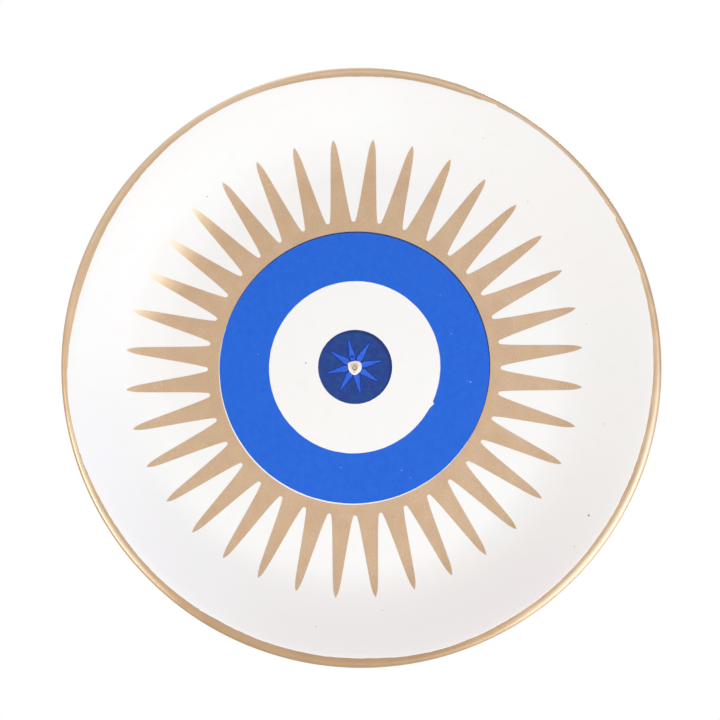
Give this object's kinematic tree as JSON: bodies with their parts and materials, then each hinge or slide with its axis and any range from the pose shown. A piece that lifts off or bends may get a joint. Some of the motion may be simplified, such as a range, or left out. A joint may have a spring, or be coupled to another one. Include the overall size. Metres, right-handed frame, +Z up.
{
  "type": "evil eye wall plate",
  "caption": "Round shallow metal wall plate with a rolled gold rim, white enamel inside, a gold sunburst and a blue eye, riveted to a hanger strap with a swinging ring.",
  "frame": {"origin": "middle of the overall box: on the dish's axis, half way between the wall plane that the pads touch and the front of the rolled rim", "axes": "+Z up as hung, +Y towards the wall, so the decorated hollow side faces -Y; +X to the right as seen from the front"},
  "size_m": [0.3, 0.0204, 0.3],
  "materials": {
    "gold_lacquer": "satin gold lacquer on steel",
    "white_enamel": "gloss white enamel",
    "gold_print": "satin metallic gold enamel",
    "blue_print": "semi-gloss royal blue enamel",
    "navy_print": "semi-gloss navy enamel",
    "light_blue_print": "semi-gloss light blue enamel",
    "rivet_alloy": "lacquered aluminium with worn paint",
    "steel": "zinc-plated steel",
    "pad_rubber": "matt black rubber"
  },
  "bodies": {
    "plate": {"dish": "gold_lacquer", "rim_wire": "steel", "white_enamel": "white_enamel", "gold_sunburst": "gold_print", "blue_ring": "blue_print", "pupil": "navy_print", "star": "light_blue_print", "rivet_body": "rivet_alloy", "rivet_mandrel": "steel", "backing_washer": "steel", "hanger_strap": "steel", "bumper_pads": "pad_rubber"},
    "ring": {"hanging_ring": "steel"}
  },
  "joints": [
    {"name": "ring_swing", "type": "hinge", "parent": "plate", "child": "ring", "pos_m": [-0.0033, 0.00471, 0.066], "axis": [1, 0, 0], "range_deg": [0, 180]}
  ]
}
